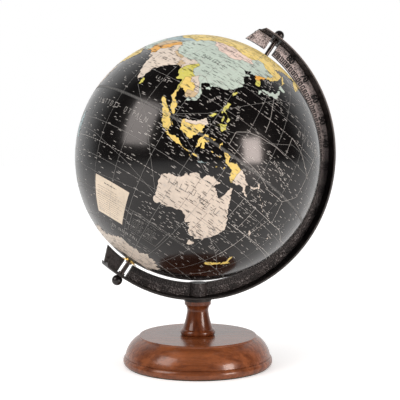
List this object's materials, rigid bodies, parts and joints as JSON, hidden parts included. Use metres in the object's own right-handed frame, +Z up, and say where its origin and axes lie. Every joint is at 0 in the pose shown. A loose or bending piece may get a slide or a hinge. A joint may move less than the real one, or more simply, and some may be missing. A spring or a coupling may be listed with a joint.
{
  "type": "desktop globe on stand",
  "caption": "Table globe with a dark printed map, spinning on a tilted axis in a half meridian arm with a latitude scale, on a turned wooden post and round base.",
  "frame": {"origin": "centre of the underside of the base, on the table, on the post's axis", "axes": "+Z up along the post; the arm lies in the XZ plane with its scale on the +X side; the polar axis leans 35 degrees from +Z towards +X"},
  "size_m": [0.3347, 0.3052, 0.423],
  "materials": {
    "felt": "matt",
    "base_wood": "gloss varnish",
    "post_wood": "gloss varnish",
    "arm_metal": "dark bronze lacquer",
    "fastener_steel": "plain",
    "pin_metal": "dark oiled",
    "ball_metal": "dark polished",
    "polar_brass": "polished",
    "shell_board": "matt",
    "block_wood": "raw",
    "map_paper": "gloss varnish",
    "disc_paper": "gloss varnish",
    "tape_paper": "gloss varnish"
  },
  "bodies": {
    "stand": {"felt_pad": "felt", "wood_base": "base_wood", "wood_post": "post_wood", "tie_rod": "fastener_steel", "clamp_washer": "fastener_steel", "clamp_nut": "fastener_steel", "meridian_arm": "arm_metal", "north_pin": "pin_metal", "south_pin": "pin_metal", "north_spacer": "pin_metal", "south_spacer": "pin_metal", "north_ball_nut": "ball_metal", "south_ball_nut": "ball_metal"},
    "globe": {"north_hemisphere": "shell_board", "south_hemisphere": "shell_board", "equator_hoop": "shell_board", "north_block": "block_wood", "south_block": "block_wood", "north_map_skin": "map_paper", "south_map_skin": "map_paper", "equator_tape": "tape_paper", "north_polar_disc": "disc_paper", "south_polar_disc": "disc_paper", "north_bush": "polar_brass", "south_bush": "polar_brass", "north_cup_washer": "polar_brass", "south_cup_washer": "polar_brass"}
  },
  "joints": [
    {"name": "globe_spin", "type": "hinge", "parent": "stand", "child": "globe", "pos_m": [0, 0, 0.26], "axis": [0.5736, 0, 0.8192], "continuous": true}
  ]
}
